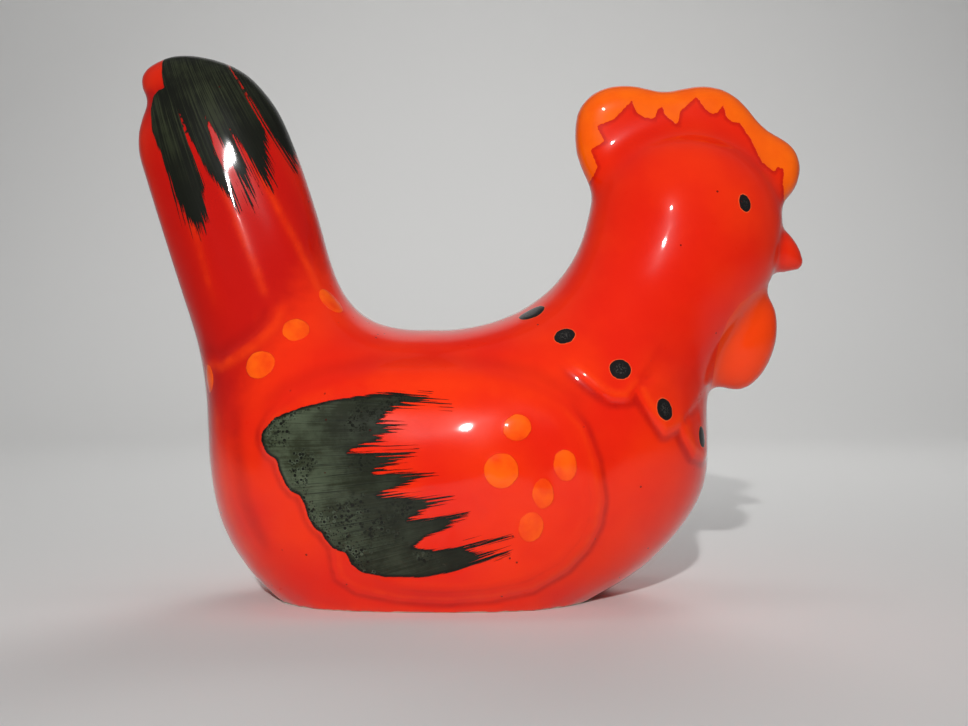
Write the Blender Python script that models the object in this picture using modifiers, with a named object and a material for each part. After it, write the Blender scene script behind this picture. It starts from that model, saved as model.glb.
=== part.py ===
"""A glazed ceramic rooster money bank, slip cast in one hollow piece, with a soft plug in its base.

The casting is one U-shaped loft: tail, body, neck and head follow each other along it. Each station
joins a point on the saddle side of the U to a point on the outer side, with the half width there.
The comb, wattle and beak were cut into the same mould, so they are joined to the loft. The cavity that
the slip leaves is the same loft, drawn in by the wall. Metres, +Z up, +X towards the beak, and the
origin on the table under the middle of the figure.
"""

import math

import bmesh
import bpy
from mathutils import Matrix, Vector
from mathutils.bvhtree import BVHTree

MM = 0.001

# Overall sizes of the glazed figure.
LENGTH = 142.8 * MM
HEIGHT = 115.8 * MM
WIDTH = 62.0 * MM

# The casting.
WALL = 4.0 * MM
FLOOR = 4.0 * MM
FOOT_RING = 4.5 * MM
FOOT_RECESS = 2.6 * MM
COMB_THICKNESS = 9.6 * MM
COMB_ROUNDING = 3.8 * MM
WATTLE_THICKNESS = 12.0 * MM
WING_RELIEF = 1.2 * MM

# The coin slot, along the back, and its middle in hundredths of half the length.
SLOT_MIDDLE = -10.0
SLOT_LENGTH = 28.5 * MM
SLOT_WIDTH = 4.8 * MM

# The plug and its hole.
HOLE_RADIUS = 13.0 * MM
PLUG_TAPER = 0.7 * MM
PLUG_DEPTH = 9.0 * MM
PLUG_WALL = 2.2 * MM
FLANGE_LIP = 2.4 * MM
FLANGE_THICKNESS = 1.5 * MM
SEAT_GAP = 0.3 * MM
FLANGE_CLEARANCE = 1.0 * MM

# How finely the forms are drawn.
LOFT_RINGS = 62
LOFT_SIDES = 36
CAVITY_RINGS = 30
CAVITY_SIDES = 22
TURNED_STEPS = 40

# Stations of the loft from the tip of the tail to the crown of the head. x is in hundredths of half
# the length, z in hundredths of the height, the half width in hundredths of half the width, and the
# last number is the fullness of the section: 2 is an ellipse, more is squarer.
STATIONS = (
    # saddle side, outer side, half width, fullness
    (-82.4, 99.7, -90.2, 99.6, 8, 2.0),
    (-74.2, 98.6, -97.4, 97.2, 17, 2.0),
    (-66.7, 96.2, -98.8, 94.2, 23, 2.1),
    (-61.6, 92.9, -96.8, 91.2, 27, 2.2),
    (-57.4, 89.3, -98.6, 87.6, 30, 2.2),
    (-54.0, 84.6, -99.8, 82.8, 32, 2.3),
    (-49.6, 77.4, -96.9, 76.2, 34, 2.3),
    (-45.1, 68.6, -92.2, 66.9, 37, 2.3),
    (-41.7, 61.1, -86.6, 56.1, 43, 2.2),
    (-37.5, 55.3, -81.2, 45.8, 55, 2.2),
    (-31.4, 51.5, -78.4, 35.8, 71, 2.2),
    (-24.1, 49.7, -77.3, 24.2, 84, 2.2),
    (-17.1, 49.1, -73.2, 12.9, 92, 2.3),
    (-11.5, 49.1, -62.2, 2.9, 97, 2.4),
    (-5.9, 49.1, -41.8, -5.8, 100, 2.5),
    (0.3, 49.6, -12.6, -7.8, 100, 2.6),
    (6.0, 50.4, 15.4, -6.9, 100, 2.5),
    (10.9, 51.5, 35.2, -0.6, 97, 2.4),
    (15.7, 52.8, 51.0, 5.2, 94, 2.3),
    (20.2, 54.7, 63.0, 12.6, 88, 2.2),
    (24.2, 56.7, 70.0, 20.3, 81, 2.1),
    (27.6, 59.1, 71.2, 28.8, 73, 2.0),
    (30.5, 61.7, 71.2, 36.8, 65, 2.0),
    (33.1, 64.9, 76.0, 44.6, 59, 2.0),
    (35.0, 68.7, 85.0, 52.3, 56, 2.0),
    (36.3, 72.5, 91.6, 59.9, 54, 2.0),
    (37.9, 76.4, 93.9, 67.7, 51, 2.0),
    (41.9, 80.4, 92.4, 75.3, 45, 2.0),
    (49.5, 83.6, 84.6, 81.2, 34, 2.0),
    (59.0, 85.4, 73.5, 84.6, 17, 2.0),
)
# The cavity follows the stations from the root of the tail to the head, where it ends round.
CAVITY_FIRST = 6
CAVITY_LAST = 27

# The comb's outline, in the same hundredths, from the nape over the lobes to the brow.
COMB_POINTS = (
    (42.0, 73.0),
    (34.6, 77.4),
    (31.9, 82.0),
    (31.5, 86.0),
    (33.2, 90.2),
    (38.4, 93.2),
    (45.4, 94.2),
    (51.4, 93.9),
    (58.0, 92.9),
    (65.0, 93.8),
    (72.4, 94.0),
    (79.0, 92.4),
    (84.8, 88.8),
    (90.3, 85.3),
    (95.8, 83.4),
    (99.0, 80.0),
    (98.2, 76.2),
    (92.6, 72.4),
    (78.0, 74.0),
    (60.0, 76.5),
)
# The wattle's two rounded lobes: the middle of each, its half sizes, its lean back from
# upright and its share of the thickness. The second is the web that joins the throat.
WATTLE_LOBES = [
    ((82.6, 47.2), (9.4, 9.9), math.radians(15), 1.0),
    ((75.2, 45.3), (12.6, 7.0), math.radians(-10), 0.96),
]
# The beak from inside the face to the tip: x, top and underside, and the share of its half width.
BEAK_STATIONS = (
    (84.0, 69.0, 59.6, 1.0),
    (91.5, 69.0, 59.6, 0.95),
    (95.5, 67.2, 59.7, 0.8),
    (98.3, 64.9, 60.0, 0.55),
    (100.0, 62.4, 60.6, 0.2),
)
BEAK_HALF_WIDTH = 4.6 * MM
# The raised wing on each side, from its rear tip over the top, round the front and back along the
# underside to the four feather ends of the rear edge; and the point its rings close on.
WING_OUTLINE = (
    (-58.0, 30.7),
    (-54.9, 33.5),
    (-47.3, 38.2),
    (-34.2, 41.6),
    (-22.1, 42.8),
    (-7.3, 42.8),
    (5.9, 41.8),
    (15.1, 40.4),
    (23.0, 38.2),
    (30.1, 35.1),
    (34.7, 31.3),
    (37.5, 26.8),
    (38.4, 22.1),
    (38.1, 17.6),
    (35.3, 13.2),
    (30.3, 9.2),
    (22.4, 5.9),
    (11.9, 4.0),
    (-1.4, 3.3),
    (-13.3, 3.5),
    (-22.4, 4.7),
    (-28.9, 6.6),
    (-32.5, 9.2),
    (-31.7, 11.6),
    (-37.0, 11.7),
    (-41.5, 14.0),
    (-42.6, 16.9),
    (-40.1, 18.8),
    (-45.4, 19.2),
    (-49.9, 21.8),
    (-50.4, 24.5),
    (-47.9, 26.1),
    (-53.8, 26.3),
    (-57.7, 28.2),
)
WING_CENTRE = (-6.0, 23.0)
# Shares of the way out to the outline, with the height off the body's side as a share of the relief.
WING_RINGS = ((0.08, 1.0), (0.35, 1.0), (0.65, 1.0), (0.95, 0.95), (1.0, -0.6))
WING_BACK_RINGS = (0.92, 0.5, 0.08)

HALF_LENGTH = LENGTH / 2
HALF_WIDTH = WIDTH / 2
CUTTER_MARGIN = 5.0 * MM
CLAY_COLOUR = (0.72, 0.035, 0.004, 1.0)
PLUG_COLOUR = (0.03, 0.03, 0.032, 1.0)


def side_point(point):
    """(x, z) in metres of a point given in hundredths of the half length and of the height."""
    return point[0] / 100 * HALF_LENGTH, point[1] / 100 * HEIGHT


def clear_scene():
    for obj in list(bpy.data.objects):
        bpy.data.objects.remove(obj, do_unlink=True)


def collection(name):
    made = bpy.data.collections.new(name)
    bpy.context.scene.collection.children.link(made)
    return made


def material(name, colour, roughness):
    made = bpy.data.materials.new(name)
    made.use_nodes = True
    shader = made.node_tree.nodes["Principled BSDF"]
    shader.inputs["Base Color"].default_value = colour
    shader.inputs["Roughness"].default_value = roughness
    shader.inputs["Metallic"].default_value = 0.0
    made.diffuse_color = colour
    return made


def add_object(name, mesh, where):
    obj = bpy.data.objects.new(name, mesh)
    where.objects.link(obj)
    return obj


def as_cutter(obj):
    obj.hide_render = True
    obj.display_type = "WIRE"
    return obj


def boolean(obj, operation, other):
    modifier = obj.modifiers.new(f"{operation.lower()}_{other.name}", "BOOLEAN")
    modifier.operation = operation
    modifier.object = other
    modifier.solver = "EXACT"


def spline_value(values, position):
    """Catmull-Rom value at a position counted in stations."""
    last = len(values) - 1
    index = min(int(position), last - 1)
    t = position - index
    before = values[max(index - 1, 0)]
    start, end = values[index], values[index + 1]
    after = values[min(index + 2, last)]
    pull_in, pull_out = (end - before) / 2, (after - start) / 2
    return (
        (2 * t**3 - 3 * t**2 + 1) * start
        + (t**3 - 2 * t**2 + t) * pull_in
        + (3 * t**2 - 2 * t**3) * end
        + (t**3 - t**2) * pull_out
    )


def station_at(position):
    """Saddle point, outer point, half width and fullness of the figure, in metres."""
    sx, sz, ox, oz, half, full = (
        spline_value(column, position) for column in zip(*STATIONS)
    )
    saddle = Vector((*side_point((sx, sz)), 0)).xzy
    outer = Vector((*side_point((ox, oz)), 0)).xzy
    return saddle, outer, half / 100 * (HALF_WIDTH - WING_RELIEF), full


def power(value, exponent):
    return math.copysign(abs(value) ** exponent, value)


def section(saddle, outer, half, fullness, sides):
    """One ring of the loft: a superellipse across the line from the saddle side to the outer side."""
    centre = (saddle + outer) / 2
    along = (outer - saddle) / 2
    ring = []
    for step in range(sides):
        angle = math.tau * step / sides
        point = centre + along * power(math.cos(angle), 2 / fullness)
        point.y = half * power(math.sin(angle), 2 / fullness)
        ring.append(point)
    return ring


def loft(name, rings, where):
    """A closed body through rings of as many points each, with a pole at either end."""
    bm = bmesh.new()
    loops = [[bm.verts.new(point) for point in ring] for ring in rings]
    count = len(rings[0])
    for first, second in zip(loops, loops[1:]):
        for i in range(count):
            j = (i + 1) % count
            bm.faces.new((first[i], first[j], second[j], second[i]))
    for loop in (loops[0], loops[-1]):
        middle = sum((vert.co for vert in loop), Vector()) / count
        pole = bm.verts.new(middle)
        for i in range(count):
            bm.faces.new((loop[i], loop[(i + 1) % count], pole))
    bmesh.ops.recalc_face_normals(bm, faces=bm.faces)
    mesh = bpy.data.meshes.new(name)
    bm.to_mesh(mesh)
    bm.free()
    mesh.shade_smooth()
    return add_object(name, mesh, where)


def figure_loft(where):
    last = len(STATIONS) - 1
    rings = []
    for step in range(LOFT_RINGS):
        rings.append(section(*station_at(last * step / (LOFT_RINGS - 1)), LOFT_SIDES))
    return loft("rooster_casting", rings, where)


def cavity_loft(where):
    """The hollow: the figure drawn in by the wall, closed round in the tail and in the head."""
    span = CAVITY_LAST - CAVITY_FIRST
    rings = []
    for step in range(CAVITY_RINGS):
        t = step / (CAVITY_RINGS - 1)
        end_share = math.sqrt(max(1 - abs(2 * t - 1) ** 8, 0.02))
        saddle, outer, half, fullness = station_at(CAVITY_FIRST + span * t)
        inward = (outer - saddle).normalized() * WALL
        saddle, outer = saddle + inward, outer - inward
        middle = (saddle + outer) / 2
        saddle = middle + (saddle - middle) * end_share
        outer = middle + (outer - middle) * end_share
        rings.append(section(saddle, outer, (half - WALL) * end_share, fullness, CAVITY_SIDES))
    return as_cutter(loft("cavity", rings, where))


def wing_pad(name, casting, side, where):
    """The raised wing: a shallow pad that follows the side of the body, thick enough to bite into it."""
    mesh = casting.data
    body = BVHTree.FromPolygons(
        [vert.co for vert in mesh.vertices], [face.vertices for face in mesh.polygons]
    )
    centre = Vector(side_point(WING_CENTRE))
    levels = [(share, rise * WING_RELIEF) for share, rise in WING_RINGS]
    levels += [(share, -0.6 * WALL) for share in WING_BACK_RINGS]
    rings = []
    for share, height in levels:
        ring = []
        for point in WING_OUTLINE:
            x, z = centre.lerp(Vector(side_point(point)), share)
            hit, _, _, _ = body.ray_cast(Vector((x, side * WIDTH, z)), Vector((0, -side, 0)))
            ring.append(hit + Vector((0, side * height, 0)))
        rings.append(ring)
    return as_cutter(loft(name, rings, where))


def comb_plate(where):
    """The comb: a flat outline with round lobes and a rounded edge."""
    knots = [Vector(side_point(point)) for point in COMB_POINTS]
    curve = bpy.data.curves.new("comb", "CURVE")
    curve.dimensions = "2D"
    curve.fill_mode = "BOTH"
    curve.extrude = COMB_THICKNESS / 2 - COMB_ROUNDING
    curve.bevel_depth = COMB_ROUNDING
    curve.bevel_resolution = 2
    curve.resolution_u = 3
    spline = curve.splines.new("BEZIER")
    spline.use_cyclic_u = True
    spline.bezier_points.add(len(knots) - 1)
    for i, knot in enumerate(spline.bezier_points):
        run = (knots[(i + 1) % len(knots)] - knots[i - 1]).normalized()
        inward = Vector((run.y, -run.x)) * COMB_ROUNDING
        knot.co = (*(knots[i] + inward), 0)
        knot.handle_left_type = knot.handle_right_type = "AUTO"
    outline = add_object("comb_outline", curve, where)
    outline.rotation_euler = (math.pi / 2, 0, 0)
    return solid_from_curve(outline, "comb", where)


def solid_from_curve(curve_object, name, where):
    """The curve as a closed mesh, with its caps welded on, in place of the curve."""
    bpy.context.view_layer.update()
    graph = bpy.context.evaluated_depsgraph_get()
    mesh = bpy.data.meshes.new_from_object(curve_object.evaluated_get(graph))
    bm = bmesh.new()
    bm.from_mesh(mesh)
    bmesh.ops.remove_doubles(bm, verts=bm.verts, dist=0.001 * MM)
    bmesh.ops.recalc_face_normals(bm, faces=bm.faces)
    bm.to_mesh(mesh)
    bm.free()
    obj = add_object(name, mesh, where)
    obj.matrix_world = curve_object.matrix_world
    bpy.data.objects.remove(curve_object, do_unlink=True)
    return as_cutter(obj)


def wattle_lobe(centre, half, lean, share, where):
    """One rounded lobe of the wattle under the beak, leaning towards the throat."""
    x, z = side_point(centre)
    half_x, half_z = side_point(half)
    half_y = WATTLE_THICKNESS / 2 * share
    bm = bmesh.new()
    bmesh.ops.create_uvsphere(bm, u_segments=20, v_segments=12, radius=1)
    bmesh.ops.scale(bm, vec=(half_x, half_y, half_z), verts=bm.verts)
    turn = Matrix.Rotation(lean, 3, "Y")
    bmesh.ops.rotate(bm, cent=(0, 0, 0), matrix=turn, verts=bm.verts)
    bmesh.ops.translate(bm, vec=(x, 0, z), verts=bm.verts)
    mesh = bpy.data.meshes.new("wattle")
    bm.to_mesh(mesh)
    bm.free()
    return as_cutter(add_object("wattle_lobe", mesh, where))


def beak(where):
    """A short hooked beak, flat underneath."""
    rings = []
    for x, top, bottom, share in BEAK_STATIONS:
        along, high = side_point((x, top))
        _, low = side_point((x, bottom))
        ring = []
        for step in range(16):
            angle = math.tau * step / 16
            across = math.cos(angle) * BEAK_HALF_WIDTH * share
            up = (high + low) / 2 + math.sin(angle) * (high - low) / 2
            ring.append(Vector((along, across, up)))
        rings.append(ring)
    return as_cutter(loft("beak", rings, where))


def box_cutter(name, low, high, where):
    bm = bmesh.new()
    bmesh.ops.create_cube(bm, size=1)
    low, high = Vector(low), Vector(high)
    bmesh.ops.scale(bm, vec=high - low, verts=bm.verts)
    bmesh.ops.translate(bm, vec=(low + high) / 2, verts=bm.verts)
    mesh = bpy.data.meshes.new(name)
    bm.to_mesh(mesh)
    bm.free()
    return as_cutter(add_object(name, mesh, where))


def round_cutter(name, radii, heights, centre_x, where, stretch=1):
    """A cone or cylinder on a vertical axis between two heights, stretched along X."""
    bm = bmesh.new()
    bmesh.ops.create_cone(
        bm,
        cap_ends=True,
        segments=TURNED_STEPS,
        radius1=radii[0],
        radius2=radii[1],
        depth=heights[1] - heights[0],
    )
    bmesh.ops.scale(bm, vec=(stretch, 1, 1), verts=bm.verts)
    bmesh.ops.translate(bm, vec=(centre_x, 0, sum(heights) / 2), verts=bm.verts)
    mesh = bpy.data.meshes.new(name)
    bm.to_mesh(mesh)
    bm.free()
    return as_cutter(add_object(name, mesh, where))


def foot_outline():
    """The rear, the front and the half width of the flat foot, where the table plane cuts the loft."""
    cuts = []
    last = len(STATIONS) - 1
    for step in range(8 * last):
        ring = section(*station_at(step / 8), LOFT_SIDES)
        for point, following in zip(ring, ring[1:] + ring[:1]):
            if (point.z > 0) != (following.z > 0):
                share = point.z / (point.z - following.z)
                cuts.append(point.lerp(following, share))
    rear = min(cut.x for cut in cuts)
    front = max(cut.x for cut in cuts)
    return rear, front, max(cut.y for cut in cuts)


def hole_radius_at(height):
    """The stopper hole narrows upwards through the floor, from the recess."""
    return HOLE_RADIUS - PLUG_TAPER * (height - FOOT_RECESS) / FLOOR


def cut_base(casting, cutters):
    """The flat foot, the recess inside the foot ring and the tapered hole through the floor.

    A narrow foot leaves a thinner ring, so that the recess still takes the plug's flange.
    """
    below = box_cutter(
        "table_plane", (-LENGTH, -WIDTH, -HEIGHT / 4), (LENGTH, WIDTH, 0), cutters
    )
    rear, front, half_y = foot_outline()
    centre_x = (rear + front) / 2
    flange_room = HOLE_RADIUS + FLANGE_LIP + FLANGE_CLEARANCE
    recess_y = max(half_y - FOOT_RING, flange_room)
    recess_x = max((front - rear) / 2 - FOOT_RING, flange_room)
    recess = round_cutter(
        "foot_recess",
        (recess_y, recess_y),
        (-CUTTER_MARGIN, FOOT_RECESS),
        centre_x,
        cutters,
        stretch=recess_x / recess_y,
    )
    low, high = FOOT_RECESS - CUTTER_MARGIN, FOOT_RECESS + FLOOR + CUTTER_MARGIN
    radii = (hole_radius_at(low), hole_radius_at(high))
    hole = round_cutter("stopper_hole", radii, (low, high), centre_x, cutters)
    for cutter in (below, recess, hole):
        boolean(casting, "DIFFERENCE", cutter)


def cut_cavity(casting, cutters):
    cavity = cavity_loft(cutters)
    under_floor = box_cutter(
        "under_floor",
        (-LENGTH, -WIDTH, -HEIGHT),
        (LENGTH, WIDTH, FOOT_RECESS + FLOOR),
        cutters,
    )
    boolean(cavity, "DIFFERENCE", under_floor)
    boolean(casting, "DIFFERENCE", cavity)


def cut_slot(casting, cutters):
    """The coin slot, through the wall along the lowest stretch of the back."""
    back_height = min(row[1] for row in STATIONS)
    x, z = side_point((SLOT_MIDDLE, back_height))
    slot = box_cutter(
        "coin_slot",
        (x - SLOT_LENGTH / 2, -SLOT_WIDTH / 2, z - 3 * WALL),
        (x + SLOT_LENGTH / 2, SLOT_WIDTH / 2, z + 3 * WALL),
        cutters,
    )
    boolean(casting, "DIFFERENCE", slot)


def stopper(where, finish):
    """The soft plug: a flange in the foot recess under a tapered, hollow shank."""
    rear, front, _ = foot_outline()
    flange_top = FOOT_RECESS - SEAT_GAP
    flange_bottom = flange_top - FLANGE_THICKNESS
    top = FOOT_RECESS + PLUG_DEPTH
    flange_radius = HOLE_RADIUS + FLANGE_LIP
    root_radius = hole_radius_at(flange_top) - SEAT_GAP
    top_radius = hole_radius_at(top) - SEAT_GAP
    cup_floor = FOOT_RECESS + FLANGE_THICKNESS
    profile = (
        (0, cup_floor),
        (top_radius - PLUG_WALL, cup_floor),
        (top_radius - PLUG_WALL, top),
        (top_radius, top),
        (root_radius, flange_top),
        (flange_radius, flange_top),
        (flange_radius, flange_bottom),
        (0, flange_bottom),
    )
    mesh = bpy.data.meshes.new("base_stopper")
    edges = [(i, i + 1) for i in range(len(profile) - 1)]
    mesh.from_pydata([(radius, 0, z) for radius, z in profile], edges, [])
    obj = add_object("base_stopper", mesh, where)
    obj.location.x = (rear + front) / 2
    turn = obj.modifiers.new("turn", "SCREW")
    turn.axis = "Z"
    turn.angle = math.tau
    turn.steps = turn.render_steps = TURNED_STEPS
    turn.use_merge_vertices = True
    turn.merge_threshold = 0.00001
    turn.use_smooth_shade = False
    mesh.materials.append(finish)
    return obj


def rooster_casting(where, cutters, finish):
    casting = figure_loft(where)
    cast_on = [comb_plate(cutters), beak(cutters)]
    cast_on += [wattle_lobe(*lobe, cutters) for lobe in WATTLE_LOBES]
    cast_on += [wing_pad("wing_right", casting, -1, cutters), wing_pad("wing_left", casting, 1, cutters)]
    for raised in cast_on:
        boolean(casting, "UNION", raised)
    cut_cavity(casting, cutters)
    cut_base(casting, cutters)
    cut_slot(casting, cutters)
    casting.data.materials.append(finish)
    return casting


def main():
    clear_scene()
    bank = collection("rooster_money_bank")
    cutters = collection("cutters")
    glaze = material("red_glaze", CLAY_COLOUR, 0.12)
    soft = material("soft_plug", PLUG_COLOUR, 0.6)
    rooster_casting(bank, cutters, glaze)
    stopper(bank, soft)


main()
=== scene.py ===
# %% [markdown]
# # A glazed ceramic rooster money bank
#
# The real object is one hollow casting of fired clay. Slip was poured into a
# plaster mould, so every edge is soft, and then red glaze, orange spots and
# brushed green-black feathers were painted on by hand. A soft stopper closes
# the hole in its foot.
#
# This lesson takes the engineer's coarse solids, gives them the smooth skin
# of glazed clay, models the low relief of the feathers, and paints the result
# with shader nodes. Nothing is moved: each new piece sits where its solid is.

import bmesh
import bpy
import numpy as np
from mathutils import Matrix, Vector
from mathutils.bvhtree import BVHTree


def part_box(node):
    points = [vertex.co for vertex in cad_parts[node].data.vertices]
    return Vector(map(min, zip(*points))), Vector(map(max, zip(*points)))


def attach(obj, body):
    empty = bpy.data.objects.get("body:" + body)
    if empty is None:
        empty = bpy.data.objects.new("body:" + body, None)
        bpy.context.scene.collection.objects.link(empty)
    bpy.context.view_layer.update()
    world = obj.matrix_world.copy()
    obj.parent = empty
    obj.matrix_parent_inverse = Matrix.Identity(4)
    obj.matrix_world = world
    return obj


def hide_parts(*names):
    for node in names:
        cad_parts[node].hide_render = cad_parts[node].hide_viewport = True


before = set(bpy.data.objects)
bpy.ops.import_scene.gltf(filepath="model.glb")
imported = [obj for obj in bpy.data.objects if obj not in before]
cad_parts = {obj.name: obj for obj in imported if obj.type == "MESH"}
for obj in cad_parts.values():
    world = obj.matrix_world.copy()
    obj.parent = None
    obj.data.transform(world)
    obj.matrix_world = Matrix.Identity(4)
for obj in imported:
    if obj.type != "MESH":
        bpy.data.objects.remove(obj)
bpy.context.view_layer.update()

# %% [markdown]
# ## Working in millimetres
#
# Blender's unit here is the metre, but a potter thinks in millimetres. Numpy
# reads all points of a mesh at once, so the sculpting below is a few sums on
# whole arrays instead of slow loops over single vertices.

# %% Read and write points
MM = 0.001                                   # one millimetre in metres


def read_points(mesh):
    """All vertex places of a mesh, in millimetres."""
    flat = np.empty(len(mesh.vertices) * 3, np.float32)
    mesh.vertices.foreach_get("co", flat)
    return flat.reshape(-1, 3).astype(float) / MM


def write_points(mesh, points):
    """Puts the vertices of a mesh at these places, given in millimetres."""
    mesh.vertices.foreach_set("co", (points * MM).astype(np.float32).ravel())
    mesh.update()


def read_normals(mesh):
    """The outward direction at every vertex."""
    flat = np.empty(len(mesh.vertices) * 3, np.float32)
    mesh.vertex_normals.foreach_get("vector", flat)
    return flat.reshape(-1, 3).astype(float)


def rise_between(value, low, high):
    """0 below low, 1 above high, and a soft S curve in between."""
    t = np.clip((value - low) / (high - low), 0.0, 1.0)
    return t * t * (3.0 - 2.0 * t)


def fall_between(value, low, high):
    """1 below low, 0 above high."""
    return 1.0 - rise_between(value, low, high)


def bell(value, width):
    """1 at zero, fading away within about two widths on both sides."""
    return np.exp(-(value / width) ** 2)


def finished_copy(blank):
    """A mesh with the modifiers of an object worked into it."""
    graph = bpy.context.evaluated_depsgraph_get()
    return bpy.data.meshes.new_from_object(blank.evaluated_get(graph))


def link_piece(name, mesh):
    """A new object at the origin, so its place is in its mesh."""
    piece = bpy.data.objects.new(name, mesh)
    bpy.context.scene.collection.objects.link(piece)
    for face in mesh.polygons:
        face.use_smooth = True
    return piece


# %% [markdown]
# ## The casting gets an even skin
#
# The solid has long flat facets, and its comb, wattle and beak meet the body
# in sharp creases. Glazed clay has neither. A voxel remesh turns the copy into
# one skin of small even squares, which can be smoothed like wet clay.
#
# The copy is merged first, because the imported solid is loose triangles.

# %% Remesh a copy of the casting
SKIN_STEP = 0.72 * MM


def casting_skin():
    blank = link_piece("casting_blank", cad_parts["rooster_casting"].data.copy())
    clay = bmesh.new()
    clay.from_mesh(blank.data)
    bmesh.ops.remove_doubles(clay, verts=clay.verts, dist=1e-6)
    clay.to_mesh(blank.data)
    clay.free()
    remesh = blank.modifiers.new("even_skin", "REMESH")
    remesh.mode = "VOXEL"
    remesh.voxel_size = SKIN_STEP
    skin = finished_copy(blank)
    bpy.data.objects.remove(blank)
    return skin


skin = casting_skin()
skin.name = "rooster_glaze"
while skin.attributes.get("custom_normal"):
    skin.attributes.remove(skin.attributes["custom_normal"])
points = read_points(skin)
print("skin:", len(skin.vertices), "points,", len(skin.polygons), "faces")

# %% [markdown]
# ## Smoothing that doesn't shrink
#
# Moving every point to the middle of its neighbours smooths a mesh, but also
# shrinks it. So the loss is measured, smoothed in the same way and given back.
# The facets go, and the size stays.
#
# A weight from 0 to 1 holds back the places that stay crisp: the coin slot,
# the foot and its hole, the beak, and the notch at the tail's tip.

# %% Smooth the skin
edge_ends = np.empty(len(skin.edges) * 2, np.int64)
skin.edges.foreach_get("vertices", edge_ends)
edge_ends = edge_ends.reshape(-1, 2)
here = np.concatenate([edge_ends[:, 0], edge_ends[:, 1]])
there = np.concatenate([edge_ends[:, 1], edge_ends[:, 0]])
neighbours = np.maximum(np.bincount(here, minlength=len(points)), 1.0)


def mean_of_neighbours(values):
    """What the points around each point have on average."""
    columns = values.reshape(len(values), -1)
    sums = [np.bincount(here, column[there], len(values)) for column in columns.T]
    return (np.array(sums) / neighbours).T.reshape(values.shape)


def relax(values, weight, rounds):
    """Moves values towards those of their neighbours, again and again."""
    for _ in range(rounds):
        values = values + (mean_of_neighbours(values) - values) * weight
    return values


SLOT_MIDDLE, SLOT_HALF_LENGTH, SLOT_HALF_WIDTH = -7.14, 14.25, 2.4
SLOT_LEVEL, FAR_AWAY = 45.0, 99.0            # the slot lies above this level
BEAK, NOTCH = (69.0, 73.0), (-67.0, 106.0)   # x and z of the two crisp places
SMOOTH_ROUNDS, SMOOTH_STRENGTH = 30, 0.8

x, y, z = points.T
off_slot = np.hypot(np.maximum(abs(x - SLOT_MIDDLE) - SLOT_HALF_LENGTH, 0.0),
                    np.maximum(abs(y) - SLOT_HALF_WIDTH, 0.0))
off_slot = np.where(z > SLOT_LEVEL, off_slot, FAR_AWAY)
off_beak = np.hypot(x - BEAK[0], z - BEAK[1])
off_notch = np.hypot(x - NOTCH[0], z - NOTCH[1])
softness = np.minimum.reduce([
    rise_between(off_slot, 0.8, 4.5),
    0.25 + 0.75 * rise_between(z, 1.0, 9.0),
    0.03 + 0.97 * rise_between(z, 0.2, 3.2),
    0.2 + 0.8 * rise_between(off_beak, 6.0, 12.0),
    0.2 + 0.8 * rise_between(off_notch, 5.0, 11.0)])
weight = (0.04 + 0.96 * softness)[:, None] * SMOOTH_STRENGTH

smoothed = relax(points, weight, SMOOTH_ROUNDS)
points = smoothed + relax(points - smoothed, weight, SMOOTH_ROUNDS)
write_points(skin, points)
print("smoothed; the length is now", round(float(np.ptp(points[:, 0])), 2), "mm")

# %% [markdown]
# ## Fillets where parts meet
#
# Glaze pools in corners. Here the points are smoothed once more, but only
# those moves that go outwards are kept, so hollows fill up and ridges stay.
# Where the comb grows out of the head, the skin is then smoothed fully.

# %% Fill the hollows
FILL_ROUNDS, DEEPEST_FILL, COMB_ROUNDS = 14, 1.2, 18

normals = read_normals(skin)
pooled = relax(points, weight, FILL_ROUNDS)
outwards = np.clip(((pooled - points) * normals).sum(1), 0.0, DEEPEST_FILL)
outwards *= rise_between(points[:, 2], 4.0, 10.0) * rise_between(off_slot, 2.0, 6.0)
points = points + normals * outwards[:, None]
points = relax(points, weight * 0.6, 2)

x, y, z = points.T
comb_foot = (rise_between(z, 86.0, 91.0) * fall_between(z, 100.0, 104.0)
             * rise_between(x, 20.0, 28.0) * fall_between(x, 58.0, 65.0))
points = relax(points, weight * comb_foot[:, None], COMB_ROUNDS)
write_points(skin, points)
print("deepest fill:", round(float(outwards.max()), 2), "mm")

# %% [markdown]
# ## Lines on the side of the bird
#
# Feathers and brush strokes follow lines drawn on the side of the bird. A line
# is a short list of (x, z) places in millimetres. The helper measures how far
# each point of the skin is from a line, with a sign that tells on which side.


# %% Distances to a drawn line
def line_distance(line, closed=False):
    """Distance in the side view to a line of (x, z) places; for a closed
    outline it is positive inside, else positive on the line's left."""
    place = points[:, [0, 2]]
    corners = np.array(line, float)
    ends = np.roll(corners, -1, axis=0) if closed else corners[1:]
    starts = corners if closed else corners[:-1]
    best = np.full(len(place), 1e9)
    side = np.zeros(len(place))
    inside = np.zeros(len(place), bool)
    for a, b in zip(starts, ends):
        run = b - a
        off = place - a
        t = np.clip(off @ run / (run @ run), 0.0, 1.0)
        gap = np.hypot(*(off - t[:, None] * run).T)
        turn = run[0] * off[:, 1] - run[1] * off[:, 0]
        nearer = gap < best - 1e-9
        best = np.where(nearer, gap, best)
        side = np.where(nearer, np.sign(turn), side)
        if closed and a[1] != b[1]:
            spans = (a[1] > place[:, 1]) != (b[1] > place[:, 1])
            across = a[0] + (place[:, 1] - a[1]) / (b[1] - a[1]) * run[0]
            inside ^= spans & (place[:, 0] < across)
    if closed:
        side = np.where(inside, 1.0, -1.0)
    return best * side


def keep(name, values):
    """Stores one number for each point of the skin, for the shader to read."""
    layer = skin.attributes.new(name, "FLOAT", "POINT")
    layer.data.foreach_set("value", values.astype(np.float32))
    print(f"{name}: {values.min():.1f} to {values.max():.1f}")
    return values


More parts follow.
